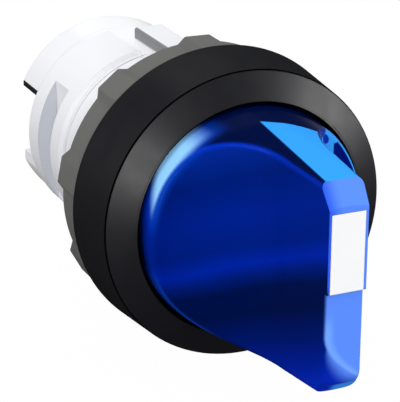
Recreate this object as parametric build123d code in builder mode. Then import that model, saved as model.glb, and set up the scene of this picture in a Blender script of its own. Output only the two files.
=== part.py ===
"""Rotary selector switch head for a 22 mm panel hole: two positions, 60 degrees apart, marker upright when off.

The switch axis is Y. The panel seat is the plane y = 0, the front faces -Y and Z is up.
Heights run forward from the panel seat and depths run behind it, so y = -height and y = depth.
"""
import os
from math import cos, hypot, radians, sin, sqrt

from build123d import *

os.makedirs("parts", exist_ok=True)

# ---------------------------------------------------------------- driving dimensions, mm and degrees
# Clearances
running_gap = 0.06              # radial clearance of a running fit
free_gap = 0.1                  # clearance between pieces that pass without touching
contact_gap = 0.01              # left between pieces that touch

# Panel gasket
gasket_radius = 14.4
gasket_wall = 1.0
gasket_web = 1.6                # thickness between the flange and the panel
gasket_height = 5.0
gasket_slack = 0.3              # clearance of its hole round the neck
gasket_tab_rise = 0.6
gasket_tab_width = 3.9
gasket_tab_count = 9
gasket_tab_round = 0.3
gasket_turn = -1.1              # how far the cup sits turned on the flange

# Bezel ring
bezel_rear_radius = 15.4
bezel_edge_radius = 14.8
bezel_edge_height = 12.2
bezel_opening = 11.75           # radius of the mouth round the knob
bezel_height = 13.66
bezel_lip = 2.1                 # thickness of the lip that keeps the knob in
bezel_shoulder = 0.4            # width of the step that rests on the housing
bezel_round = 0.3               # radius of its three outer edges

# Housing
neck_radius = 10.9              # passes a 22.3 mm panel hole
flange_height = 9.0
body_radius = 11.1
body_start = 10.3               # depth where the neck steps up to the body
body_end = 24.05
collar_start = 19.2             # depth where the rear collar begins
collar_step = 0.2
collar_flat = 9.9               # distance of the collar's side flats from the axis
cavity_radius = 8.4
bearing_end = 1.0               # height of the inner end of the rotor's bearing
key_width = 3.2                 # anti-rotation key on top of the neck
key_top = 13.1                  # height of the key's top above the axis
key_depth = 11.8                # how far the key reaches behind the panel seat
key_round = 0.4                 # radius of its upper edges
land_height = 10.93             # flat strip along the top of the body
slot_start = 12.6               # side slots for the holder's latch
slot_end = 16.4
slot_floor = 8.85               # distance of the slots' flat floors from the axis
notch_half = 3.75               # half height of the collar's rear notches
notch_middle = 0.35             # how far they sit above the axis
neck_rib_start = 8.7
neck_rib_width = 0.45
neck_rib_rise = 0.12
neck_groove = 0.3               # relief between the neck's rib and the body

# Knob
knob_gap = 0.25                 # clearance in the bezel's mouth
knob_height = 33.0
knob_tip_radius = 10.25         # radius of the knob's envelope at the front
knob_flange_gap = 0.2           # clearance under the bezel's lip
knob_flange_thickness = 1.5
knob_flange_play = 0.4          # clearance round the flange
ridge_half = 1.97               # half thickness of the grip at its front
rim_height = 15.2               # height where the thumb scoops begin
scoop_radius = 12.1
scoop_throat = 25.67            # height where the scoops turn into the grip's sides
throat_half = 2.58              # half thickness of the grip at that height
scoop_blend = 5.0               # radius between a scoop and its flat floor
throat_blend = 15.0             # radius between a scoop and the grip's side
rim_round = 0.7                 # radius of the scoops' outer edges
pointer_base_half = 0.75        # half width of the flat strip along the grip's top and bottom, at the bezel
pointer_tip_half = 1.5          # the same at the front
nose_length = 1.6
nose_drop = 2.0
front_step = 0.5                # set-back of the front below the marker
front_round = 0.3               # radius of that front's side edges
nose_round = 1.5                # radius between that front and the nose

# Marker insert and light guide
marker_width = 3.4
marker_length = 7.6
marker_thickness = 1.1
guide_clearance = 0.1
guide_flange_thickness = 1.2
guide_rear = 6.0                # depth of the light guide's rear end
blade_thickness = 1.8
blade_bottom = 0.4
blade_top = 6.5

# Rotor and cam
rotor_radius = 6.0
rotor_bore = 3.95
head_radius = 7.0
head_flat = 6.3                 # half distance over the head's driving flats
head_length = 2.8
drum_radius = 5.6               # detent drum
drum_front = 0.6
drum_rear = 4.4                 # depth of the drum's rear end
spigot_radius = 5.0             # carries the cam sleeve
spigot_tail = 0.7               # length of the spigot behind the clip
cam_inner = 6.1
cam_outer = 8.1
cam_base = 2.0
cam_rest = 0.8                  # height of the ramps above the cam's base when off
cam_margin = 14.0               # extra ramp at each end
cam_steps = 8
throw_angle = 60.0              # knob's turn from off to on
plunger_travel = 2.6
drive_key = 1.6                 # width of the key between rotor and cam
drive_key_rise = 0.5

# Plungers, rear cap and springs
plunger_offset = 7.0            # distance of the plungers from the axis
heel_half = 8.0                 # half angle of a plunger's heel
heel_length = 2.2
stem_radius = 0.8
stem_projection = 2.4           # length of the stems behind the rear cap when off
stem_chamfer = 0.25
cap_radius = 9.5
cap_thickness = 1.8
cap_setback = 0.2               # rear cap's distance from the collar
lamp_bore = 5.0                 # rear opening for the lamp block's nose
spring_wire = 0.16              # radius of the wire
spring_radius = 1.12
spring_coils = 5
spring_facets = 6               # flats round the wire
detent_leaf = 0.3               # thickness of the detent springs
detent_width = 3.2
detent_offset = 6.9             # distance of the detent springs' ends from the axis
detent_tip = 5.5                # distance of their noses from the axis
detent_nose = 1.8               # half height of the nose
detent_rib = 0.8                # height of the rib that keeps them in
detent_rib_width = 0.6

# Seals, washers, clip and pin
knob_seal_radius = 10.6
knob_seal_wire = 0.75
knob_seal_groove = 0.7          # depth of its groove
shaft_seal_wire = 0.28
shaft_seal_height = 4.6
cup_height = 0.45
cup_thickness = 0.25
cup_inner = 6.2
cup_outer = 7.4
washer_thickness = 0.35
clip_thickness = 0.5
clip_radius = 5.9
clip_groove = 0.4               # depth of the groove in the spigot
clip_opening = 70.0
stop_pin_radius = 0.65
stop_pin_offset = 8.3
stop_pin_depth = 3.5            # how deep it is pressed into the housing
stop_pin_reach = 2.3            # how far it stands into the knob's arc slot
stop_pin_slack = 0.4            # free depth over it
stop_pin_chamfer = 0.2

# ---------------------------------------------------------------- derived sizes
flange_radius = gasket_radius - gasket_wall
gasket_hole = neck_radius + gasket_slack
lip_height = bezel_height - bezel_lip
shoulder_radius = flange_radius - bezel_shoulder
knob_radius = bezel_opening - knob_gap
knob_flange_top = lip_height - knob_flange_gap
knob_base = knob_flange_top - knob_flange_thickness
knob_flange_radius = shoulder_radius - knob_flange_play
head_front = knob_base + head_length
guide_top = head_front + guide_flange_thickness
marker_seat = knob_height - marker_thickness
sleeve_rear = drum_rear + cam_base
ramp_rest = sleeve_rear + cam_rest
cam_rise = plunger_travel / throw_angle
heel_rear = ramp_rest + free_gap + heel_length
cap_rear = collar_start - cap_setback
cap_front = cap_rear - cap_thickness
stem_hole = stem_radius + running_gap
outline_bend = min(bezel_height, rim_height - 2 * rim_round)  # the knob narrows from here
envelope_slope = (knob_radius - knob_tip_radius) / (knob_height - outline_bend)


def ahead(height):
    """Plane square to the switch axis, at a height in front of the panel seat and facing forward."""
    return Plane.XZ.offset(height)


def behind(depth):
    """Plane square to the switch axis, at a depth behind the panel seat and facing forward."""
    return Plane.XZ.offset(-depth)


def half_section(angle=0.0):
    """Plane through the axis. Its x runs outward at this angle from +X, and its y runs forward."""
    outward = (cos(radians(angle)), 0, sin(radians(angle)))
    return Plane(origin=(0, 0, 0), x_dir=outward, z_dir=(outward[2], 0, -outward[0]))


def ring_section(*points):
    """Draw a closed half section, given as (radius, height) points."""
    Polygon(*points, align=None)


def axis_distance(edge):
    """Distance of an edge's middle from the switch axis."""
    middle = edge.position_at(0.5)
    return hypot(middle.X, middle.Z)


def head_outline(clearance=0.0):
    """Round head with two driving flats, as on the rotor, the light guide and the knob's bore."""
    Circle(head_radius + clearance)
    Rectangle(2 * (head_flat + clearance), 4 * head_radius, mode=Mode.INTERSECT)


# ---------------------------------------------------------------- panel gasket
# A moulded rubber cup round the housing's flange. Its web seals on the panel, and a notch lets the key pass.
def gasket_outline():
    Circle(gasket_radius)
    with PolarLocations(gasket_radius, gasket_tab_count, start_angle=90 + gasket_turn):
        Trapezoid(gasket_tab_width + 2 * gasket_tab_rise, 2 * gasket_tab_rise, 45, rotation=-90)


with BuildPart() as panel_gasket:
    with BuildSketch(ahead(0)):
        gasket_outline()
        Circle(gasket_hole, mode=Mode.SUBTRACT)
        with Locations((0, key_top / 2)):
            Rectangle(key_width + 2 * free_gap, key_top + 2 * free_gap, mode=Mode.SUBTRACT)
    extrude(amount=gasket_web)
    with BuildSketch(ahead(gasket_web)):
        gasket_outline()
        Circle(flange_radius, mode=Mode.SUBTRACT)
    extrude(amount=gasket_height - gasket_web)
    tab_corners = panel_gasket.edges().filter_by(Axis.Y).filter_by(lambda edge: axis_distance(edge) > gasket_radius)
    fillet(tab_corners, gasket_tab_round)
panel_gasket.part.label = "panel_gasket"
export_step(panel_gasket.part, "parts/panel_gasket.step")

# ---------------------------------------------------------------- bezel ring
# A moulded ring pushed over the flange. Its lip keeps the knob in, and its front face slopes to the mouth.
with BuildPart() as bezel_ring:
    with BuildSketch(half_section()) as bezel_section:
        ring_section(
            (bezel_opening, bezel_height),
            (bezel_edge_radius, bezel_edge_height),
            (bezel_rear_radius, gasket_height),
            (flange_radius, gasket_height),
            (flange_radius, flange_height),
            (shoulder_radius, flange_height),
            (shoulder_radius, lip_height),
            (bezel_opening, lip_height),
        )
        outer = bezel_section.vertices().sort_by(Axis.X)
        fillet((outer[-1], outer[-2], bezel_section.vertices().sort_by(Axis.Y)[-1]), bezel_round)
    revolve(axis=Axis.Y)
bezel_ring.part.label = "bezel_ring"
export_step(bezel_ring.part, "parts/bezel_ring.step")

# ---------------------------------------------------------------- housing
# One moulding: flange, neck with its key, body with two latch slots, and a notched rear collar.
with BuildPart() as housing:
    with BuildSketch(half_section()):
        rib_end = neck_rib_start + neck_rib_width
        ring_section(
            (rotor_radius + running_gap, flange_height),
            (flange_radius, flange_height),
            (flange_radius, gasket_web),
            (neck_radius, gasket_web),
            (neck_radius, -neck_rib_start),
            (neck_radius + neck_rib_rise, -neck_rib_start),
            (neck_radius + neck_rib_rise, -rib_end),
            (neck_radius - neck_groove, -rib_end),
            (neck_radius - neck_groove, -body_start + neck_groove),
            (body_radius, -body_start),
            (body_radius, -collar_start),
            (body_radius - collar_step, -collar_start),
            (body_radius - collar_step, -body_end),
            (cap_radius, -body_end),
            (cap_radius, -cap_front),
            (cavity_radius, -cap_front),
            (cavity_radius, bearing_end),
            (rotor_radius + running_gap, bearing_end),
        )
    revolve(axis=Axis.Y)

    # Flat land on top of the body, and the key that stands on it and on the neck
    with BuildSketch(behind(body_start)):
        with Locations((0, land_height)):
            Rectangle(2 * body_radius, body_radius, align=(Align.CENTER, Align.MIN))
    extrude(amount=-(collar_start - body_start), mode=Mode.SUBTRACT)
    with BuildSketch(ahead(gasket_web)):
        with Locations((0, key_top)):
            Rectangle(key_width, key_top - (neck_radius + cavity_radius) / 2, align=(Align.CENTER, Align.MAX))
    extrude(amount=-(gasket_web + key_depth))
    fillet(housing.faces().filter_by(Plane.XY).sort_by(Axis.Z)[-1].edges().sort_by(Axis.Y)[1:], key_round)

    # Latch slots, collar flats and rear notches, alike on both sides
    with BuildSketch(behind(slot_start)):
        for side in (-1, 1):
            with Locations((side * (slot_floor + body_radius / 2), 0)):
                Rectangle(body_radius, 2 * body_radius)
    extrude(amount=-(slot_end - slot_start), mode=Mode.SUBTRACT)
    with BuildSketch(behind(collar_start)):
        for side in (-1, 1):
            with Locations((side * (collar_flat + body_radius / 2), 0)):
                Rectangle(body_radius, 2 * body_radius)
        with Locations((0, notch_middle)):
            Rectangle(3 * body_radius, 2 * notch_half)
    extrude(amount=-(body_end - collar_start), mode=Mode.SUBTRACT)

    # Seal groove and the stop pin's hole in the front face, and the rib that keeps the detent springs in
    with BuildSketch(ahead(flange_height)):
        Circle(knob_seal_radius + knob_seal_wire + free_gap / 2)
        Circle(knob_seal_radius - knob_seal_wire - free_gap / 2, mode=Mode.SUBTRACT)
    extrude(amount=-knob_seal_groove, mode=Mode.SUBTRACT)
    with BuildSketch(ahead(flange_height)):
        with Locations((0, stop_pin_offset)):
            Circle(stop_pin_radius)
    extrude(amount=-stop_pin_depth, mode=Mode.SUBTRACT)
    with BuildSketch(ahead(bearing_end - detent_width)):
        Circle(cavity_radius + detent_rib)
        Circle(cavity_radius - detent_rib, mode=Mode.SUBTRACT)
    extrude(amount=-detent_rib_width)
housing.part.label = "housing"
export_step(housing.part, "parts/housing.step")

# ---------------------------------------------------------------- knob
# A moulded knob: a round base, and a grip left between two thumb scoops. Both ends of the grip are conical.
with BuildPart() as knob:
    with BuildSketch(half_section()):
        ring_section(
            (0, knob_base),
            (knob_flange_radius, knob_base),
            (knob_flange_radius, knob_flange_top),
            (knob_radius, knob_flange_top),
            (knob_radius, outline_bend),
            (knob_tip_radius + envelope_slope * nose_length, knob_height - nose_length),
            (knob_tip_radius - nose_drop, knob_height),
            (0, knob_height),
        )
    revolve(axis=Axis.Y)

    # Thumb scoops: a flat floor at the rim that sweeps up into the side of the grip
    floor_end = throat_half + scoop_radius - sqrt(scoop_radius**2 - (scoop_throat - rim_height) ** 2)
    for side in (-1, 1):
        with BuildSketch(Plane.XY) as scoop:
            with BuildLine():
                RadiusArc((side * floor_end, -rim_height), (side * throat_half, -scoop_throat), -side * scoop_radius)
                Polyline(
                    (side * throat_half, -scoop_throat),
                    (side * ridge_half, -knob_height),
                    (side * ridge_half, -2 * knob_height),
                    (side * 2 * knob_radius, -2 * knob_height),
                    (side * 2 * knob_radius, -rim_height),
                    (side * floor_end, -rim_height),
                )
            make_face()
            fillet(scoop.vertices().sort_by_distance((side * floor_end, -rim_height))[0], scoop_blend)
            fillet(scoop.vertices().sort_by_distance((side * throat_half, -scoop_throat))[0], throat_blend)
        extrude(amount=2 * knob_radius, both=True, mode=Mode.SUBTRACT)

    # Soft edges where the scoops break out of the conical outline
    def on_rim(edge):
        height = -edge.position_at(0.5).Y
        outline = knob_radius - envelope_slope * (height - outline_bend)
        beside_scoop = rim_height - contact_gap < height < scoop_throat
        return beside_scoop and abs(axis_distance(edge) - outline) < contact_gap

    fillet(knob.edges().filter_by(on_rim), rim_round)

    # Below the marker the grip's front stands back, with rounded edges
    with BuildSketch(ahead(knob_height)):
        Rectangle(2 * knob_radius, knob_radius, align=(Align.CENTER, Align.MAX))
    extrude(amount=-front_step, mode=Mode.SUBTRACT)
    for ends, radius in (((0, 1), nose_round), ((1, 3), front_round)):
        lower_front = knob.faces().filter_by(Plane.XZ).group_by(Axis.Y)[1].sort_by(Axis.Z)[0]
        fillet(lower_front.edges().sort_by(Axis.Z)[slice(*ends)], radius)

    # Flat pointer strips along both ends of the grip
    strip_base = sqrt(knob_radius**2 - pointer_base_half**2)
    strip_tip = sqrt(knob_tip_radius**2 - pointer_tip_half**2)
    for side in (-1, 1):
        with BuildSketch(Plane.YZ):
            with BuildLine():
                Polyline(
                    (-outline_bend, side * strip_base),
                    (-knob_height, side * strip_tip),
                    (-knob_height, side * 2 * knob_radius),
                    (-outline_bend, side * 2 * knob_radius),
                    close=True,
                )
            make_face()
        extrude(amount=knob_radius, both=True, mode=Mode.SUBTRACT)

    # Socket for the rotor's head and the light guide, the blade's slot and the marker's seat
    with BuildSketch(ahead(knob_base)):
        head_outline()
    extrude(amount=guide_top - knob_base, mode=Mode.SUBTRACT)
    with BuildSketch(ahead(guide_top)):
        with Locations((0, (blade_top + blade_bottom) / 2)):
            Rectangle(blade_thickness + free_gap, blade_top - blade_bottom + free_gap)
    extrude(amount=marker_seat - guide_top, mode=Mode.SUBTRACT)
    with BuildSketch(ahead(marker_seat)):
        with Locations((0, marker_length / 2)):
            Rectangle(marker_width, marker_length)
    extrude(amount=marker_thickness, mode=Mode.SUBTRACT)

    # Arc slot over the stop pin: the pin meets its ends just past the two positions
    pin_room = stop_pin_radius + free_gap
    with BuildSketch(ahead(knob_base)):
        Circle(stop_pin_offset + pin_room)
        Circle(stop_pin_offset - pin_room, mode=Mode.SUBTRACT)
        far = 2 * stop_pin_offset
        swing = radians(throw_angle)
        Polygon((0, 0), (0, far), (-far * sin(swing), far * cos(swing)), align=None, mode=Mode.INTERSECT)
        with PolarLocations(stop_pin_offset, 2, start_angle=90, angular_range=throw_angle, endpoint=True):
            Circle(pin_room)
    extrude(amount=flange_height + stop_pin_reach + stop_pin_slack - knob_base, mode=Mode.SUBTRACT)
knob.part.label = "knob"
export_step(knob.part, "parts/knob.step")

# ---------------------------------------------------------------- marker insert
# A white plate pressed into the grip's front, from the axis to the nose.
with BuildPart() as marker_insert:
    with BuildSketch(ahead(marker_seat)):
        with Locations((0, marker_length / 2)):
            Rectangle(marker_width, marker_length)
    extrude(amount=marker_thickness)
marker_insert.part.label = "marker_insert"
export_step(marker_insert.part, "parts/marker_insert.step")

# ---------------------------------------------------------------- light guide
# A clear moulding: a rod down the rotor's bore, a flange on the rotor's head and a blade behind the marker.
with BuildPart() as light_guide:
    with BuildSketch(behind(guide_rear)):
        Circle(rotor_bore - guide_clearance)
    extrude(amount=guide_rear + head_front)
    with BuildSketch(ahead(head_front)):
        head_outline()
    extrude(amount=guide_flange_thickness)
    with BuildSketch(ahead(guide_top)):
        with Locations((0, (blade_top + blade_bottom) / 2)):
            Rectangle(blade_thickness, blade_top - blade_bottom)
    extrude(amount=marker_seat - guide_top)
light_guide.part.label = "light_guide"
export_step(light_guide.part, "parts/light_guide.step")

# ---------------------------------------------------------------- rotor
# A moulded tube: the head drives the knob, the journal runs in the housing, and the drum takes the detents.
with BuildPart() as rotor:
    with BuildSketch(half_section()):
        seal_floor = rotor_radius + running_gap - 2 * shaft_seal_wire - contact_gap
        groove_half = shaft_seal_wire + free_gap
        spigot_end = sleeve_rear + clip_thickness + spigot_tail
        ring_section(
            (rotor_bore, head_front),
            (rotor_radius, head_front),
            (rotor_radius, shaft_seal_height + groove_half),
            (seal_floor, shaft_seal_height + groove_half),
            (seal_floor, shaft_seal_height - groove_half),
            (rotor_radius, shaft_seal_height - groove_half),
            (rotor_radius, drum_front),
            (drum_radius, drum_front),
            (drum_radius, -drum_rear),
            (spigot_radius, -drum_rear),
            (spigot_radius, -sleeve_rear),
            (spigot_radius - clip_groove, -sleeve_rear),
            (spigot_radius - clip_groove, -sleeve_rear - clip_thickness),
            (spigot_radius, -sleeve_rear - clip_thickness),
            (spigot_radius, -spigot_end),
            (rotor_bore, -spigot_end),
        )
    revolve(axis=Axis.Y)
    with BuildSketch(ahead(knob_base)):
        head_outline()
        Circle(rotor_bore, mode=Mode.SUBTRACT)
    extrude(amount=head_length)

    # Detent notches: one pair at each position
    nose_centre = (detent_tip**2 - detent_offset**2 - detent_nose**2) / (2 * (detent_tip - detent_offset))
    nose_radius = nose_centre - detent_tip
    with BuildSketch(behind(drum_rear)):
        for angle in (0, throw_angle, 180, 180 + throw_angle):
            with PolarLocations(nose_centre, 1, start_angle=angle):
                Circle(nose_radius + detent_leaf / 2 + free_gap)
    extrude(amount=drum_rear + drum_front, mode=Mode.SUBTRACT)

    # Keys on the spigot that turn the cam sleeve
    with BuildSketch(behind(drum_rear)):
        Circle(spigot_radius + drive_key_rise)
        Rectangle(drive_key, 4 * spigot_radius, mode=Mode.INTERSECT)
        Circle(rotor_bore, mode=Mode.SUBTRACT)
    extrude(amount=-cam_base)
rotor.part.label = "rotor"
export_step(rotor.part, "parts/rotor.step")

# ---------------------------------------------------------------- cam sleeve
# A ring keyed on the rotor's spigot, with two helical ramps on its rear face that push the plungers.
with BuildPart() as cam_sleeve:
    with BuildSketch(behind(drum_rear)):
        Circle(cam_outer)
        Circle(spigot_radius, mode=Mode.SUBTRACT)
    extrude(amount=-cam_base)
    with BuildSketch(behind(drum_rear)):
        Circle(spigot_radius + drive_key_rise)
        Rectangle(drive_key, 4 * spigot_radius, mode=Mode.INTERSECT)
    extrude(amount=-cam_base, mode=Mode.SUBTRACT)
    ramp_angle = throw_angle + 2 * cam_margin
    for start in (0, 180):
        for step in range(cam_steps + 1):
            turn = -cam_margin + ramp_angle * step / cam_steps
            rear = ramp_rest + cam_rise * turn
            with BuildSketch(half_section(start + turn)):
                with Locations(((cam_inner + cam_outer) / 2, -(sleeve_rear + rear) / 2)):
                    Rectangle(cam_outer - cam_inner, rear - sleeve_rear)
        loft(ruled=True)
cam_sleeve.part.label = "cam_sleeve"
export_step(cam_sleeve.part, "parts/cam_sleeve.step")

# ---------------------------------------------------------------- retaining ring
# An open spring ring snapped into the spigot's groove. It holds the rotor and the cam sleeve in the housing.
with BuildPart() as retaining_ring:
    with BuildSketch(behind(sleeve_rear)):
        Circle(clip_radius)
        Circle(spigot_radius - clip_groove, mode=Mode.SUBTRACT)
        with BuildLine():
            half_opening = clip_opening / 2
            corner = (2 * clip_radius * sin(radians(half_opening)), 2 * clip_radius * cos(radians(half_opening)))
            Polyline((0, 0), corner, (-corner[0], corner[1]), close=True)
        make_face(mode=Mode.SUBTRACT)
    extrude(amount=-clip_thickness)
retaining_ring.part.label = "retaining_ring"
export_step(retaining_ring.part, "parts/retaining_ring.step")

# ---------------------------------------------------------------- thrust washer
# A flat ring between the bearing's end and the cam sleeve's drum.
with BuildPart() as thrust_washer:
    with BuildSketch(ahead(bearing_end)):
        Circle(cavity_radius - free_gap)
        Circle(rotor_radius + running_gap, mode=Mode.SUBTRACT)
    extrude(amount=-washer_thickness)
thrust_washer.part.label = "thrust_washer"
export_step(thrust_washer.part, "parts/thrust_washer.step")

# ---------------------------------------------------------------- cup spring
# A conical spring washer on the flange's front. It takes up the knob's play.
with BuildPart() as cup_spring:
    with BuildSketch(half_section()):
        ring_section(
            (cup_outer, flange_height),
            (cup_outer, flange_height + cup_thickness),
            (cup_inner, flange_height + cup_thickness + cup_height),
            (cup_inner, flange_height + cup_height),
        )
    revolve(axis=Axis.Y)
cup_spring.part.label = "cup_spring"
export_step(cup_spring.part, "parts/cup_spring.step")

# ---------------------------------------------------------------- seals
# Two rubber rings: one in the flange's groove under the knob, one in the rotor's groove.
with BuildPart() as knob_seal:
    with BuildSketch(half_section()):
        with Locations((knob_seal_radius, flange_height - knob_seal_groove + knob_seal_wire)):
            Circle(knob_seal_wire)
    revolve(axis=Axis.Y)
knob_seal.part.label = "knob_seal"
export_step(knob_seal.part, "parts/knob_seal.step")

with BuildPart() as shaft_seal:
    with BuildSketch(half_section()):
        with Locations((rotor_radius + running_gap - shaft_seal_wire, shaft_seal_height)):
            Circle(shaft_seal_wire)
    revolve(axis=Axis.Y)
shaft_seal.part.label = "shaft_seal"
export_step(shaft_seal.part, "parts/shaft_seal.step")

# ---------------------------------------------------------------- stop pin
# A steel pin pressed into the flange. It limits the knob's turn at both ends of the arc slot.
with BuildPart() as stop_pin:
    with BuildSketch(ahead(flange_height - stop_pin_depth)):
        with Locations((0, stop_pin_offset)):
            Circle(stop_pin_radius)
    extrude(amount=stop_pin_depth + stop_pin_reach)
    chamfer(stop_pin.edges().sort_by(Axis.Y)[0], stop_pin_chamfer)
stop_pin.part.label = "stop_pin"
export_step(stop_pin.part, "parts/stop_pin.step")

# ---------------------------------------------------------------- detent springs
# Two bent leaf springs wedged across the cavity. Their noses drop in the drum's notches.
for side in (-1, 1):
    with BuildPart() as detent_spring:
        leaf_end = sqrt(cavity_radius**2 - (detent_offset + detent_leaf / 2) ** 2)
        with BuildSketch(ahead(bearing_end - washer_thickness - free_gap)):
            with BuildLine():
                Polyline(
                    (side * detent_offset, leaf_end),
                    (side * detent_offset, detent_nose),
                )
                ThreePointArc(
                    (side * detent_offset, detent_nose),
                    (side * (detent_tip + detent_leaf), 0),
                    (side * detent_offset, -detent_nose),
                )
                Line((side * detent_offset, -detent_nose), (side * detent_offset, -leaf_end))
            trace(line_width=detent_leaf)
        extrude(amount=-(detent_width - washer_thickness - 2 * free_gap))
    name = "detent_spring_right" if side > 0 else "detent_spring_left"
    detent_spring.part.label = name
    export_step(detent_spring.part, "parts/" + name + ".step")

# ---------------------------------------------------------------- plungers
# Each plunger has a heel under its cam ramp, and a stem through the rear cap that works a contact block.
for start, name in ((180, "plunger_left"), (0, "plunger_right")):
    with BuildPart() as plunger:
        for turn in (-heel_half, heel_half):
            front = ramp_rest + cam_rise * turn + free_gap
            with BuildSketch(half_section(start + turn)):
                with Locations(((cam_inner + cam_outer) / 2, -(front + heel_rear) / 2)):
                    Rectangle(cam_outer - cam_inner, heel_rear - front)
        loft(ruled=True)
        with BuildSketch(behind(heel_rear)):
            with Locations((plunger_offset * cos(radians(start)), 0)):
                Circle(stem_radius)
        extrude(amount=-(cap_rear + stem_projection - heel_rear))
        chamfer(plunger.edges().sort_by(Axis.Y)[-1], stem_chamfer)
    plunger.part.label = name
    export_step(plunger.part, "parts/" + name + ".step")

# ---------------------------------------------------------------- plunger springs
# A coil spring round each stem returns the plunger to its ramp.
for start, name in ((180, "plunger_spring_left"), (0, "plunger_spring_right")):
    with BuildPart() as plunger_spring:
        place = (plunger_offset * cos(radians(start)), heel_rear + spring_wire + contact_gap, 0)
        length = cap_front - heel_rear - 2 * (spring_wire + contact_gap)
        with BuildLine() as coil:
            Helix(length / spring_coils, length, spring_radius, center=place, direction=(0, 1, 0))
        with BuildSketch(Plane(origin=coil.line @ 0, z_dir=coil.line % 0)):
            RegularPolygon(spring_wire, spring_facets)
        sweep(path=coil.line, is_frenet=True)
    plunger_spring.part.label = name
    export_step(plunger_spring.part, "parts/" + name + ".step")

# ---------------------------------------------------------------- rear cap
# A disc pressed into the collar. It guides the stems and leaves a round opening for the lamp.
with BuildPart() as rear_cap:
    with BuildSketch(behind(cap_front)):
        Circle(cap_radius)
        Circle(lamp_bore, mode=Mode.SUBTRACT)
        with Locations((-plunger_offset, 0), (plunger_offset, 0)):
            Circle(stem_hole, mode=Mode.SUBTRACT)
    extrude(amount=-cap_thickness)
rear_cap.part.label = "rear_cap"
export_step(rear_cap.part, "parts/rear_cap.step")
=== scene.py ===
"""A panel selector switch dressed for rendering: camera and studio first, then one section for each piece."""

import bpy
from mathutils import Matrix, Vector


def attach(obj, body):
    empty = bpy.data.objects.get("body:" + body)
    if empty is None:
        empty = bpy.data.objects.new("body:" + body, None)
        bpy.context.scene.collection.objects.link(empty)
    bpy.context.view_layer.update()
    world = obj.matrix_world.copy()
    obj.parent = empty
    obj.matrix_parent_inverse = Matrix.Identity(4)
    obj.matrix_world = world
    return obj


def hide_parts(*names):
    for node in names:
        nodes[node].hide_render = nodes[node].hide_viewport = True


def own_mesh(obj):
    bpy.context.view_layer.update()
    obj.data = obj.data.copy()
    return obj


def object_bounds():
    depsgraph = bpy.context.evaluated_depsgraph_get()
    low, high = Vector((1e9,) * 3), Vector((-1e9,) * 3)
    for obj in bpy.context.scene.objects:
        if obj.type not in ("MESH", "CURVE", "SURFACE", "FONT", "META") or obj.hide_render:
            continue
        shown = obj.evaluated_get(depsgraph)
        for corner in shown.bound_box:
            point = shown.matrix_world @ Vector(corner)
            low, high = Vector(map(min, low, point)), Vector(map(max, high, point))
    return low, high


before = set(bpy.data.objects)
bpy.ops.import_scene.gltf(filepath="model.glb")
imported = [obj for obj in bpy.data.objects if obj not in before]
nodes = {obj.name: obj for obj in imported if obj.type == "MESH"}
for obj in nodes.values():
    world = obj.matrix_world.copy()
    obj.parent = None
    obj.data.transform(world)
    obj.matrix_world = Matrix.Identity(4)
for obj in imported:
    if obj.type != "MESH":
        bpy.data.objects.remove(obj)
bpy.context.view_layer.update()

# ---------------------------------------------------------------- camera
# A long lens looks down on the switch from its left, so the grip points to the lower right.
camera_data = bpy.data.cameras.new("camera")
camera_data.lens = 174.56
camera_data.sensor_width = 36.0
camera = bpy.data.objects.new("camera", camera_data)
viewpoint = Vector((-0.078294, -0.172231, 0.069222))
right = Vector((0.9099, -0.4148, 0.0063))
up = Vector((0.1423, 0.3261, 0.9346))
turn = Matrix((right, up, right.cross(up))).transposed().to_4x4()
camera.matrix_world = Matrix.Translation(viewpoint) @ turn
bpy.context.scene.collection.objects.link(camera)
bpy.context.scene.camera = camera
bpy.context.scene.view_settings.view_transform = "Standard"

# ---------------------------------------------------------------- studio
# Large soft boxes round the switch: one above, two on the left and one on the right.
switch_middle = Vector((0.0, -0.01, 0.0))


def soft_box(name, place, width, height, power):
    """Rectangular area lamp that faces the switch's middle. Sizes are in metres and the power is in watts."""
    lamp_data = bpy.data.lights.new(name, "AREA")
    lamp_data.shape = "RECTANGLE"
    lamp_data.size = width
    lamp_data.size_y = height
    lamp_data.energy = power
    lamp = bpy.data.objects.new(name, lamp_data)
    away = Vector(place) - switch_middle
    lamp.matrix_world = Matrix.Translation(place) @ away.to_track_quat("Z", "Y").to_matrix().to_4x4()
    bpy.context.scene.collection.objects.link(lamp)


soft_box("box_above", (0.05, 0.1, 0.5), width=0.45, height=0.45, power=0.85)
soft_box("box_left", (-0.27, -0.5, 0.08), width=0.17, height=0.26, power=1.2)
soft_box("box_side", (-0.5, 0.15, 0.2), width=0.3, height=0.3, power=0.6)
soft_box("box_right", (0.46, -0.28, 0.09), width=0.28, height=0.28, power=1.3)

# The room is white where the camera sees it, a bright fill as a light, and dark in reflections
world = bpy.data.worlds.new("studio")
bpy.context.scene.world = world
world.use_nodes = True
room_tree = world.node_tree
room_tree.nodes.clear()


def choose(ray_kind, others, chosen):
    """Light for one kind of ray laid over the light for the others. Returns its output."""
    tree = others.id_data
    rays = tree.nodes.new("ShaderNodeLightPath")
    mix = tree.nodes.new("ShaderNodeMixShader")
    tree.links.new(rays.outputs[ray_kind], mix.inputs["Fac"])
    tree.links.new(others, mix.inputs[1])
    tree.links.new(chosen, mix.inputs[2])
    return mix.outputs["Shader"]


def room(colour, strength):
    """World background of one colour. Returns its output."""
    background = room_tree.nodes.new("ShaderNodeBackground")
    background.inputs["Color"].default_value = (*colour, 1.0)
    background.inputs["Strength"].default_value = strength
    return background.outputs["Background"]


fill = room((0.97, 0.98, 1.0), strength=0.8)
fill = choose("Is Glossy Ray", fill, room((0.9, 0.95, 1.0), strength=0.025))
fill = choose("Is Camera Ray", fill, room((1.0, 1.0, 1.0), strength=1.0))
room_out = room_tree.nodes.new("ShaderNodeOutputWorld")
room_tree.links.new(fill, room_out.inputs["Surface"])

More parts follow.
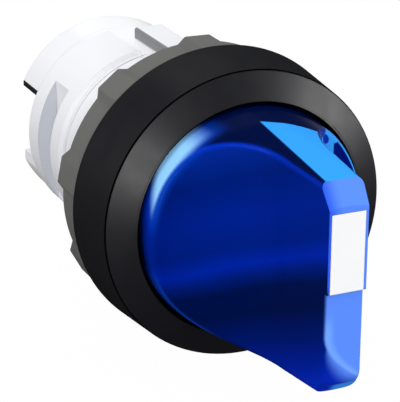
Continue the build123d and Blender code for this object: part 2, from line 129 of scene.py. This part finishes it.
# The floor is a white sheet just under the bezel, dark in reflections
floor_gap = 0.0003
floor_reach = 3.0
paper_grey = 0.25
paper_glow = 1.03
glow_share = 0.96
reflected_grey = 0.02
floor_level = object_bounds()[0][2] - floor_gap
corner_signs = ((-1, -1), (1, -1), (1, 1), (-1, 1))
floor_corners = [(x * floor_reach, y * floor_reach, floor_level) for x, y in corner_signs]
floor_mesh = bpy.data.meshes.new("floor")
floor_mesh.from_pydata(floor_corners, [], [(0, 1, 2, 3)])
floor = bpy.data.objects.new("floor", floor_mesh)
bpy.context.scene.collection.objects.link(floor)
floor_paint = bpy.data.materials.new("floor_paper")
floor_paint.use_nodes = True
floor_tree = floor_paint.node_tree
floor_tree.nodes.clear()


def matt_grey(grey):
    """Dull grey surface of the floor. Returns its output."""
    surface = floor_tree.nodes.new("ShaderNodeBsdfDiffuse")
    surface.inputs["Color"].default_value = (grey, grey, grey, 1.0)
    return surface.outputs["BSDF"]


# Only a small share of the paper shows its shade to the camera, so the floor is white with a faint shadow
glow = floor_tree.nodes.new("ShaderNodeEmission")
glow.inputs["Strength"].default_value = paper_glow
camera_rays = floor_tree.nodes.new("ShaderNodeLightPath")
share = floor_tree.nodes.new("ShaderNodeMath")
share.operation = "MULTIPLY"
share.inputs[1].default_value = glow_share
floor_tree.links.new(camera_rays.outputs["Is Camera Ray"], share.inputs[0])
sheet = floor_tree.nodes.new("ShaderNodeMixShader")
floor_tree.links.new(share.outputs["Value"], sheet.inputs["Fac"])
floor_tree.links.new(matt_grey(paper_grey), sheet.inputs[1])
floor_tree.links.new(glow.outputs["Emission"], sheet.inputs[2])
floor_surface = choose("Is Glossy Ray", sheet.outputs["Shader"], matt_grey(reflected_grey))
floor_out = floor_tree.nodes.new("ShaderNodeOutputMaterial")
floor_tree.links.new(floor_surface, floor_out.inputs["Surface"])
floor_mesh.materials.append(floor_paint)

# ---------------------------------------------------------------- housing
# One white moulding in glass-filled polyamide: flange, keyed neck, body with latch slots, notched collar.
# It drops through the panel hole from the front, and everything else is fitted in or on it.


def plastic(name, roughness, grain_size, grain_height, colour=None, mottle=0.06):
    """Moulded plastic, rubber or wire. Fine grain lifts the surface, and two slow noises vary the roughness
    and the colour, if one is given. The bevel node rounds the edges for the light. Sizes are in metres."""
    tint_scale = 180.0
    patch_scale = 420.0
    roughness_spread = 0.08
    edge_radius = 0.00015
    material = bpy.data.materials.new(name)
    material.use_nodes = True
    tree = material.node_tree
    shader = shader_of(material)
    place = tree.nodes.new("ShaderNodeTexCoord")

    def noise(scale, detail):
        """Noise in the piece's own frame. Returns its output."""
        texture = tree.nodes.new("ShaderNodeTexNoise")
        texture.inputs["Scale"].default_value = scale
        texture.inputs["Detail"].default_value = detail
        tree.links.new(place.outputs["Object"], texture.inputs["Vector"])
        return texture.outputs["Fac"]

    if colour:
        tint = tree.nodes.new("ShaderNodeMix")
        tint.data_type = "RGBA"
        tint.inputs["A"].default_value = (*(part * (1.0 - mottle) for part in colour), 1.0)
        tint.inputs["B"].default_value = (*(min(1.0, part * (1.0 + mottle)) for part in colour), 1.0)
        tree.links.new(noise(tint_scale, detail=3.0), tint.inputs["Factor"])
        tree.links.new(tint.outputs["Result"], shader.inputs["Base Color"])
    spread = tree.nodes.new("ShaderNodeMapRange")
    spread.inputs["To Min"].default_value = roughness - roughness_spread
    spread.inputs["To Max"].default_value = roughness + roughness_spread
    tree.links.new(noise(patch_scale, detail=2.0), spread.inputs["Value"])
    tree.links.new(spread.outputs["Result"], shader.inputs["Roughness"])
    lift = tree.nodes.new("ShaderNodeBump")
    lift.inputs["Distance"].default_value = grain_height
    lift.inputs["Strength"].default_value = 1.0
    tree.links.new(noise(1.0 / grain_size, detail=2.0), lift.inputs["Height"])
    edge = tree.nodes.new("ShaderNodeBevel")
    edge.samples = 6
    edge.inputs["Radius"].default_value = edge_radius
    tree.links.new(edge.outputs["Normal"], lift.inputs["Normal"])
    tree.links.new(lift.outputs["Normal"], shader.inputs["Normal"])
    return material


def shader_of(material):
    """The material's own shader node."""
    return material.node_tree.nodes["Principled BSDF"]


def dress(node, material):
    """Put a material in every slot of a CAD node."""
    slots = nodes[node].data.materials
    slots.clear()
    slots.append(material)


def count(operation, *values):
    """Math node over sockets and numbers, of which one at least is a socket. Returns its output."""
    sockets = [value for value in values if isinstance(value, bpy.types.NodeSocket)]
    tree = sockets[0].id_data
    node = tree.nodes.new("ShaderNodeMath")
    node.operation = operation
    for entry, value in zip(node.inputs, values):
        if isinstance(value, bpy.types.NodeSocket):
            tree.links.new(value, entry)
        else:
            entry.default_value = value
    return node.outputs["Value"]


def both(*masks):
    """Product of masks. Returns its output."""
    product = masks[0]
    for mask in masks[1:]:
        product = count("MULTIPLY", product, mask)
    return product


def fade(value, start, end):
    """Smooth mask: 0 where the value is at start, 1 where it is at end. Returns its output."""
    node = value.id_data.nodes.new("ShaderNodeMapRange")
    node.interpolation_type = "SMOOTHSTEP"
    node.inputs["From Min"].default_value = start
    node.inputs["From Max"].default_value = end
    value.id_data.links.new(value, node.inputs["Value"])
    return node.outputs["Result"]


def stretch(value, start, full, fall, end):
    """Mask of a stretch: 0 up to start, 1 from full to fall, and 0 again from end. Returns its output."""
    return both(fade(value, start, full), fade(value, end, fall))


def lay(mask, under, over):
    """Colour laid over another where the mask is 1. The upper one is three linear values or a socket."""
    tree = mask.id_data
    node = tree.nodes.new("ShaderNodeMix")
    node.data_type = "RGBA"
    tree.links.new(mask, node.inputs["Factor"])
    tree.links.new(under, node.inputs["A"])
    if isinstance(over, bpy.types.NodeSocket):
        tree.links.new(over, node.inputs["B"])
    else:
        node.inputs["B"].default_value = (*over, 1.0)
    return node.outputs["Result"]


def split(material, kind):
    """X, Y and Z of the piece's own coordinates of a kind. Returns three outputs."""
    tree = material.node_tree
    spot = tree.nodes.new("ShaderNodeTexCoord")
    parts = tree.nodes.new("ShaderNodeSeparateXYZ")
    tree.links.new(spot.outputs[kind], parts.inputs["Vector"])
    return [parts.outputs[axis] for axis in "XYZ"]


def places(material):
    """Millimetres right of the axis, behind the panel seat and above the axis. Returns three outputs."""
    millimetres_a_metre = 1000.0
    return [count("MULTIPLY", metres, millimetres_a_metre) for metres in split(material, "Object")]


def looks(material):
    """How far a face looks left, to the front and up, each at most 1. Returns three outputs."""
    right_part, rear_part, up_part = split(material, "Normal")
    return count("MULTIPLY", right_part, -1.0), count("MULTIPLY", rear_part, -1.0), up_part


housing_white = (0.86, 0.86, 0.885)
housing_plastic = plastic(
    "white_polyamide",
    roughness=0.42,
    grain_size=0.0003,
    grain_height=0.000004,
    colour=housing_white,
    mottle=0.015,
)
housing_colour = shader_of(housing_plastic).inputs["Base Color"]
white = housing_colour.links[0].from_socket
across, behind, above = places(housing_plastic)
looks_left, looks_front, looks_up = looks(housing_plastic)
leftward = count("MULTIPLY", across, -1.0)

# Painted shade: the slots' walls are painted greyer than the outside, and the lug flat and key's left side
# dark as in deep shade
# Each range holds the places, in millimetres, where a mask starts, is full, falls and ends
front_wall_looks = (0.8, 0.95)
slots_behind = (12.0, 13.0, 18.0, 19.0)
slot_painted_shade = (0.6, 0.61, 0.67)
slot_wall = both(fade(looks_front, *front_wall_looks), stretch(behind, *slots_behind))
white = lay(slot_wall, white, slot_painted_shade)
key_leftward = (1.1, 1.35, 2.3, 2.5)
key_above = (11.6, 11.9)
key_side_looks = (0.4, 0.7)
key_side_painted_shade = (0.26, 0.26, 0.27)
key_side = both(stretch(leftward, *key_leftward), fade(above, *key_above), fade(looks_left, *key_side_looks))
white = lay(key_side, white, key_side_painted_shade)
lug_leftward = (9.8, 9.86, 9.95, 10.0)
lug_behind = (19.0, 19.2)
lug_above = (3.9, 4.0, 4.9, 5.0)
lug_painted_shade = (0.015, 0.015, 0.016)
lug_flat = both(stretch(leftward, *lug_leftward), fade(behind, *lug_behind), stretch(above, *lug_above))
white = lay(lug_flat, white, lug_painted_shade)

# Painted light: the top is painted whiter, as it catches the most light
top_above = (10.2, 10.6, 11.6, 12.0)
top_across = (-2.0, -1.8)
collar_looks_up = (0.88, 0.97)
collar_behind = (18.4, 18.6)
top_painted_light = (0.935, 0.935, 0.945)
level_top = both(stretch(above, *top_above), fade(across, *top_across))
collar_top = both(fade(looks_up, *collar_looks_up), fade(behind, *collar_behind))
white = lay(count("MAXIMUM", level_top, collar_top), white, top_painted_light)
housing_plastic.node_tree.links.new(white, housing_colour)
dress("housing", housing_plastic)

# ---------------------------------------------------------------- bezel ring
# A black satin ring in glass-filled polyamide, moulded with a wide conical front face.
# It is pushed over the housing's flange, and its lip keeps the knob in.


def radius_at(across, above):
    """Distance from the switch's axis. Returns its output."""
    return count("SQRT", count("ADD", count("MULTIPLY", across, across), count("MULTIPLY", above, above)))


def round_normal(across, above, outward, backward):
    """Normal of a cone or cylinder about the switch's axis, by its outward and backward parts."""
    tree = across.id_data
    from_axis = radius_at(across, above)
    normal = tree.nodes.new("ShaderNodeCombineXYZ")
    tree.links.new(count("MULTIPLY", count("DIVIDE", across, from_axis), outward), normal.inputs["X"])
    tree.links.new(count("MULTIPLY", count("DIVIDE", above, from_axis), outward), normal.inputs["Z"])
    normal.inputs["Y"].default_value = backward
    turned_normal = tree.nodes.new("ShaderNodeVectorTransform")
    turned_normal.vector_type = "NORMAL"
    tree.links.new(normal.outputs["Vector"], turned_normal.inputs["Vector"])
    return turned_normal.outputs["Vector"]


def blend_normal(shader, normal):
    """Mix of the shader's own normal and another, which takes its place there. Returns the mask's input."""
    tree = normal.id_data
    mix = tree.nodes.new("ShaderNodeMix")
    mix.data_type = "VECTOR"
    tree.links.new(shader.inputs["Normal"].links[0].from_socket, mix.inputs["A"])
    tree.links.new(normal, mix.inputs["B"])
    tree.links.new(mix.outputs["Result"], shader.inputs["Normal"])
    return mix.inputs["Factor"]


bezel_black = (0.0105, 0.0105, 0.0138)
bezel_plastic = plastic(
    "black_polyamide",
    roughness=0.38,
    grain_size=0.00022,
    grain_height=0.000002,
    colour=bezel_black,
    mottle=0.1,
)
bezel_shader = shader_of(bezel_plastic)
bezel_links = bezel_plastic.node_tree.links
across, behind, above = places(bezel_plastic)
looks_front = looks(bezel_plastic)[1]
from_axis = radius_at(across, above)

# Painted shade: the tiny rounds at the outer edge and at the mouth are painted black and lose their gloss, as
# if they took no light
edge_looks_front = (0.1, 0.2, 0.7, 0.82)
edge_radius = (14.4, 14.6)
mouth_radius = (12.03, 11.95)
mouth_behind = (-12.6, -12.8)
line_painted_shade = (0.001, 0.001, 0.0015)
plain_gloss = 0.5
edge_line = both(stretch(looks_front, *edge_looks_front), fade(from_axis, *edge_radius))
mouth_line = both(fade(from_axis, *mouth_radius), fade(behind, *mouth_behind))
dark_line = count("MAXIMUM", edge_line, mouth_line)
black = bezel_shader.inputs["Base Color"].links[0].from_socket
bezel_links.new(lay(dark_line, black, line_painted_shade), bezel_shader.inputs["Base Color"])
gloss = count("MULTIPLY_ADD", dark_line, -plain_gloss, plain_gloss)
bezel_links.new(gloss, bezel_shader.inputs["Specular IOR Level"])

# The round at the mouth shines as the conical face does, up to a thin dark line at the knob
cone_outward, cone_backward = 0.43, -0.9
mouth_round_radius = (11.78, 11.8, 12.1, 12.15)
mouth_round_looks = (0.0, 0.1)
by_mouth = both(stretch(from_axis, *mouth_round_radius), fade(looks_front, *mouth_round_looks))
cone_normal = round_normal(across, above, cone_outward, cone_backward)
bezel_links.new(by_mouth, blend_normal(bezel_shader, cone_normal))
dress("bezel_ring", bezel_plastic)

# ---------------------------------------------------------------- panel gasket
# A soft grey nitrile cup, moulded with nine tabs, stretched over the flange against the panel.
# The tabs are so soft that their folds hardly show: most of the skirt shades as a plain cylinder.
cylinder_share = 0.75
gasket_grey = (0.13, 0.13, 0.124)
gasket_rubber = plastic(
    "grey_rubber",
    roughness=0.75,
    grain_size=0.00018,
    grain_height=0.000008,
    colour=gasket_grey,
    mottle=0.05,
)
across, _, above = places(gasket_rubber)
cylinder_normal = round_normal(across, above, outward=1.0, backward=0.0)
blend_normal(shader_of(gasket_rubber), cylinder_normal).default_value = cylinder_share
dress("panel_gasket", gasket_rubber)

# ---------------------------------------------------------------- knob
# A deep blue translucent moulding. Its light and shade are painted into its colour: the grip's top and front
# are painted light blue, and the thumb scoops dark, with soft slanting bands of painted reflection. The
# bezel's lip keeps it in.
knob_plastic = plastic(
    "blue_polycarbonate",
    roughness=0.16,
    grain_size=0.0008,
    grain_height=0.000002,
)
knob_shader = shader_of(knob_plastic)
knob_tree = knob_plastic.node_tree
across, behind, above = places(knob_plastic)
_, looks_front, looks_up = looks(knob_plastic)
height = count("MULTIPLY", behind, -1.0)
from_axis = radius_at(across, above)
turned = count("DEGREES", count("ARCTAN2", above, across))

# The scoops' deep blue, with painted reflection in slanting light and dark bands, by the height above a line
# that rises with the grip, a little uneven
band_slope = -0.45
band_wander = 1.6
cloud_scale = 90.0
band_low, band_high = -25.0, 3.0
reflection_band_colours = (
    (-24.0, (0.002, 0.024, 0.55)),
    (-21.5, (0.0, 0.014, 0.32)),
    (-19.0, (0.0, 0.009, 0.16)),
    (-16.0, (0.0, 0.0055, 0.065)),
    (-13.4, (0.0, 0.006, 0.075)),
    (-12.0, (0.0, 0.012, 0.2)),
    (-10.8, (0.0, 0.018, 0.4)),
    (-9.0, (0.0, 0.014, 0.24)),
    (-5.8, (0.0, 0.016, 0.29)),
    (-2.0, (0.0, 0.013, 0.2)),
    (1.5, (0.001, 0.024, 0.33)),
)
cloud_place = knob_tree.nodes.new("ShaderNodeTexCoord")
cloud = knob_tree.nodes.new("ShaderNodeTexNoise")
cloud.inputs["Scale"].default_value = cloud_scale
knob_tree.links.new(cloud_place.outputs["Object"], cloud.inputs["Vector"])
uneven = count("MULTIPLY_ADD", cloud.outputs["Fac"], band_wander, -band_wander / 2)
band_place = count("ADD", count("MULTIPLY_ADD", height, band_slope, uneven), above)
bands = knob_tree.nodes.new("ShaderNodeValToRGB")
stops = bands.color_ramp.elements
for number, (band, colour) in enumerate(reflection_band_colours):
    share_up = (band - band_low) / (band_high - band_low)
    stop = stops[number] if number < 2 else stops.new(share_up)
    stop.position = share_up
    stop.color = (*colour, 1.0)
band_share = knob_tree.nodes.new("ShaderNodeMapRange")
band_share.inputs["From Min"].default_value = band_low
band_share.inputs["From Max"].default_value = band_high
knob_tree.links.new(band_place, band_share.inputs["Value"])
knob_tree.links.new(band_share.outputs["Result"], bands.inputs["Fac"])
blue = bands.outputs["Color"]

# Painted shade and light: round the mouth the moulding is painted dark by the bezel, with a painted highlight
# line at the lower left
rim_radius = (11.2, 11.4)
rim_height = (14.6, 13.2)
low_arc_turned = (-168.0, -150.0, -130.0, -110.0)
low_arc_radius = (10.9, 11.3)
low_arc_looks = (0.85, 0.4)
rim_painted_shade = (0.0, 0.006, 0.04)
low_arc_painted_light = (0.004, 0.045, 0.42)
by_bezel = both(fade(height, *rim_height), fade(from_axis, *rim_radius))
blue = lay(by_bezel, blue, rim_painted_shade)
low_arc = both(stretch(turned, *low_arc_turned), fade(from_axis, *low_arc_radius))
low_arc = both(low_arc, fade(looks_front, *low_arc_looks))
blue = lay(low_arc, blue, low_arc_painted_light)

# Painted light and shade: the ridge over the left scoop is painted lit, and the top behind the painted glow
# is painted dark
ridge_looks_up = (0.0, 0.45)
ridge_across = (-0.5, -4.0)
ridge_painted_light = (0.0, 0.024, 0.46)
top_looks_up = (0.6, 0.9)
top_painted_shade = (0.0, 0.004, 0.045)
blue = lay(both(fade(looks_up, *ridge_looks_up), fade(across, *ridge_across)), blue, ridge_painted_light)
blue = lay(fade(looks_up, *top_looks_up), blue, top_painted_shade)

# Painted highlight: an arc at the upper left is painted light, a wide faint one and a narrow bright one, with
# slanted ends; the bright one also has a painted glow
upper_slant, upper_turn = 0.5, 7.0
lower_slant = -8.0
faint_upper, faint_lower = (106.0, 126.0), (60.0, 42.0)
faint_radius, faint_height = (10.3, 11.3), (17.0, 15.2)
faint_painted_highlight = (0.002, 0.05, 0.5)
bright_upper, bright_lower = (115.0, 132.0), (52.0, 38.0)
bright_radius, bright_height = (11.12, 11.45), (16.2, 14.7)
bright_looks = (0.85, 0.2)
bright_painted_highlight = (0.22, 0.48, 0.78)
painted_glow_colour = (0.3, 0.62, 0.95, 1.0)
arc_painted_glow = 0.3
upper_end = count("MULTIPLY_ADD", height, upper_slant, count("SUBTRACT", turned, upper_turn))
lower_end = count("MULTIPLY_ADD", height, lower_slant, turned)
faint_arc = both(fade(upper_end, *faint_upper), fade(lower_end, *faint_lower))
faint_arc = both(faint_arc, fade(from_axis, *faint_radius), fade(height, *faint_height))
blue = lay(faint_arc, blue, faint_painted_highlight)
bright_arc = both(fade(upper_end, *bright_upper), fade(lower_end, *bright_lower))
bright_arc = both(bright_arc, fade(looks_front, *bright_looks))
bright_arc = both(bright_arc, fade(from_axis, *bright_radius), fade(height, *bright_height))
blue = lay(bright_arc, blue, bright_painted_highlight)
knob_tree.links.new(count("MULTIPLY", bright_arc, arc_painted_glow), knob_shader.inputs["Emission Strength"])
knob_shader.inputs["Emission Color"].default_value = painted_glow_colour

# Painted light: the grip's top is painted light blue from a slanting line forward, and so is the right scoop
# by its rim
glow_start = 17.5
glow_slant = 0.59
strip_left, strip_taper = 0.2, 0.045
strip_looks_up = (0.8, 0.9)
slant_edge, side_edge = (-0.12, 0.12), (-0.05, 0.15)
scoop_across = (3.4, 3.8)
scoop_above = (2.0, 3.0, 9.2, 9.5)
scoop_radius = (11.42, 11.3)
azure_painted_light = (0.033, 0.35, 0.98)
glow_line = count("SUBTRACT", height, count("MULTIPLY_ADD", across, glow_slant, glow_start))
left_line = count("ADD", across, count("MULTIPLY_ADD", height, strip_taper, strip_left))
painted_top_light = both(fade(glow_line, *slant_edge), fade(left_line, *side_edge), fade(looks_up, *strip_looks_up))
right_scoop = both(fade(across, *scoop_across), stretch(above, *scoop_above), fade(from_axis, *scoop_radius))
blue = lay(count("MAXIMUM", painted_top_light, right_scoop), blue, azure_painted_light)

# Painted shade: two dark marks on the right scoop, a small oval and a window-shaped patch beside the rim
oval_lean, oval_lean_shift = 0.8, 12.85
oval_narrowing = 1.7
oval_flattening, oval_rise = 1.54, 13.4
oval_edge = (1.15, 0.8)
oval_across = (4.0, 4.2)
oval_painted_shade = (0.002, 0.025, 0.45)
window_across = (7.5, 7.7)
window_radius = (11.22, 11.08)
window_above = (7.6, 7.45)
window_painted_shade = (0.0, 0.007, 0.17)
sideways = count("ADD", count("MULTIPLY_ADD", above, oval_lean, -oval_lean_shift), across)
sideways = count("MULTIPLY", sideways, oval_narrowing)
upward = count("MULTIPLY_ADD", above, oval_flattening, -oval_rise)
from_oval = count("ADD", count("MULTIPLY", sideways, sideways), count("MULTIPLY", upward, upward))
blue = lay(both(fade(from_oval, *oval_edge), fade(across, *oval_across)), blue, oval_painted_shade)
window = both(fade(across, *window_across), fade(from_axis, *window_radius), fade(above, *window_above))
blue = lay(window, blue, window_painted_shade)

# Painted light: the nose is painted a paler blue, more so on the right
front_looks = (0.45, 0.7)
front_height = (28.0, 29.0)
nose_across = (-2.4, -0.4)
front_painted_light = (0.02, 0.09, 0.85)
nose_painted_light = (0.1, 0.255, 0.98)
front = both(fade(looks_front, *front_looks), fade(height, *front_height))
nose_shade = lay(fade(across, *nose_across), lay(front, blue, front_painted_light), nose_painted_light)

# Painted light and shade: below the marker the front is painted light, fading to deep blue round the lower
# left of a leaning curve, whose own line, a painted highlight, leans from the left edge at 4 mm below the
# axis to the foot's right end
curve_top = 4.2
curve_bend = -0.165
curve_shift = 1.6
fade_widening, fade_shift, least_fade = -0.57, -2.83, 0.3
curve_widths = (-1.3, 0.1)
lower_painted_light = (0.11, 0.275, 1.0)
line_width = (-0.35, 0.05, 0.15, 0.95)
line_above = (-1.5, -4.0)
line_share = 0.7
curve_painted_highlight = (0.2, 0.43, 1.0)
nose_foot = (1.0, 0.0)
line_down = count("MINIMUM", count("ADD", above, curve_top), 0.0)
line_across = count("MULTIPLY_ADD", count("MULTIPLY", line_down, line_down), curve_bend, across)
line_across = count("ADD", line_across, curve_shift)
fade_width = count("MAXIMUM", count("MULTIPLY_ADD", above, fade_widening, fade_shift), least_fade)
lower_front = lay(fade(count("DIVIDE", line_across, fade_width), *curve_widths), blue, lower_painted_light)
curve_line = both(stretch(line_across, *line_width), fade(above, *line_above))
lower_front = lay(count("MULTIPLY", curve_line, line_share), lower_front, curve_painted_highlight)
blue = lay(front, blue, lay(fade(above, *nose_foot), nose_shade, lower_front))

# Painted highlight: a light blue line runs along the bottom of the nose
foot_above = (-9.3, -9.6)
foot_height = (29.0, 30.0)
foot_across = (-1.0, 0.0)
foot_painted_highlight = (0.045, 0.31, 1.0)
foot = both(fade(above, *foot_above), fade(height, *foot_height), fade(across, *foot_across))
blue = lay(foot, blue, foot_painted_highlight)
knob_tree.links.new(blue, knob_shader.inputs["Base Color"])
knob_shader.inputs["Specular Tint"].default_value = (0.1, 0.35, 1.0, 1.0)
knob_shader.inputs["Specular IOR Level"].default_value = 0.12
dress("knob", knob_plastic)

# ---------------------------------------------------------------- marker insert
# A white acetal plate that shows where the knob points.
# It is moulded apart and pressed into the grip's front, from the axis to the nose.
marker_white = (0.96, 0.96, 0.96)
marker_plastic = plastic(
    "white_acetal",
    roughness=0.35,
    grain_size=0.0004,
    grain_height=0.000002,
    colour=marker_white,
    mottle=0.01,
)
dress("marker_insert", marker_plastic)

# ---------------------------------------------------------------- light guide
# One clear polycarbonate moulding: a rod down the rotor's bore, a flange and a blade behind the marker.
# The flange lies on the rotor's head, under the knob.
clear_white = (0.9, 0.95, 0.97)
clear_plastic = plastic(
    "clear_polycarbonate",
    roughness=0.08,
    grain_size=0.001,
    grain_height=0.000001,
    colour=clear_white,
    mottle=0.01,
)
shader_of(clear_plastic).inputs["Transmission Weight"].default_value = 0.95
shader_of(clear_plastic).inputs["IOR"].default_value = 1.58
dress("light_guide", clear_plastic)

# ---------------------------------------------------------------- rotor
# A dark grey acetal tube, moulded, that turns in the housing's bearing.
# Its head is keyed in the knob, its drum takes the detents, and its spigot carries the cam sleeve.
rotor_grey = (0.05, 0.05, 0.055)
rotor_plastic = plastic(
    "grey_acetal",
    roughness=0.4,
    grain_size=0.0003,
    grain_height=0.000003,
    colour=rotor_grey,
)
dress("rotor", rotor_plastic)

# ---------------------------------------------------------------- cam sleeve
# A red acetal ring, moulded with two helical ramps on its rear face.
# It is keyed on the rotor's spigot, and its ramps push the plungers.
cam_red = (0.5, 0.06, 0.04)
cam_plastic = plastic(
    "red_acetal",
    roughness=0.35,
    grain_size=0.0003,
    grain_height=0.000003,
    colour=cam_red,
)
dress("cam_sleeve", cam_plastic)

# ---------------------------------------------------------------- plungers
# Two red acetal mouldings, each with a heel under its ramp of the cam and a stem that works a contact block.
# They run in the rear cap's holes.
for node in ("plunger_left", "plunger_right"):
    dress(node, cam_plastic)

# ---------------------------------------------------------------- thrust washer
# A flat white PTFE ring, cut from sheet.
# It lies loose between the end of the rotor's bearing and the cam sleeve.
washer_white = (0.8, 0.8, 0.78)
washer_plastic = plastic(
    "white_washer",
    roughness=0.5,
    grain_size=0.0003,
    grain_height=0.000003,
    colour=washer_white,
)
dress("thrust_washer", washer_plastic)

# ---------------------------------------------------------------- rear cap
# A white moulded disc with a round opening for the lamp and a hole for each stem.
# It is pressed into the housing's collar and closes the body.
cap_white = (0.78, 0.78, 0.8)
cap_plastic = plastic(
    "white_cap",
    roughness=0.42,
    grain_size=0.0003,
    grain_height=0.000004,
    colour=cap_white,
    mottle=0.02,
)
dress("rear_cap", cap_plastic)

# ---------------------------------------------------------------- seals
# Two moulded rings in black nitrile rubber.
# One lies in the flange's groove under the knob, and the other in the rotor's groove.
seal_black = (0.02, 0.02, 0.02)
seal_rubber = plastic(
    "black_rubber",
    roughness=0.6,
    grain_size=0.0002,
    grain_height=0.000006,
    colour=seal_black,
)
for node in ("knob_seal", "shaft_seal"):
    dress(node, seal_rubber)

# ---------------------------------------------------------------- retaining ring
# An open ring stamped from bright spring steel.
# It snaps into the groove of the rotor's spigot and holds the rotor and the cam sleeve in the housing.
steel_grey = (0.6, 0.6, 0.6)
spring_steel = plastic(
    "spring_steel",
    roughness=0.3,
    grain_size=0.0001,
    grain_height=0.000002,
    colour=steel_grey,
)
shader_of(spring_steel).inputs["Metallic"].default_value = 1.0
dress("retaining_ring", spring_steel)

# ---------------------------------------------------------------- cup spring
# A conical washer pressed from spring steel.
# It lies on the flange's front and takes up the knob's play.
dress("cup_spring", spring_steel)

# ---------------------------------------------------------------- stop pin
# A short bright steel pin, pressed into the housing's flange.
# It stands in the arc slot under the knob and limits the turn.
dress("stop_pin", spring_steel)

# ---------------------------------------------------------------- detent springs
# Two leaf springs bent from spring steel strip and wedged across the cavity.
# Their noses drop in the notches of the rotor's drum.
for node in ("detent_spring_left", "detent_spring_right"):
    dress(node, spring_steel)

# ---------------------------------------------------------------- plunger springs
# Two coil springs of round steel wire, one round each plunger's stem, between its heel and the rear cap.
# The cap holds the rear end, so in the switch the coils close up as the plunger is pushed back; here each
# coil is a rigid copy that moves with the operator.
for side in ("left", "right"):
    node = "plunger_spring_" + side
    dress(node, spring_steel)
    coil = bpy.data.objects.new("coil_" + side, nodes[node].data.copy())
    bpy.context.scene.collection.objects.link(coil)
    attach(coil, "operator")
    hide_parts(node)
    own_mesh(coil)
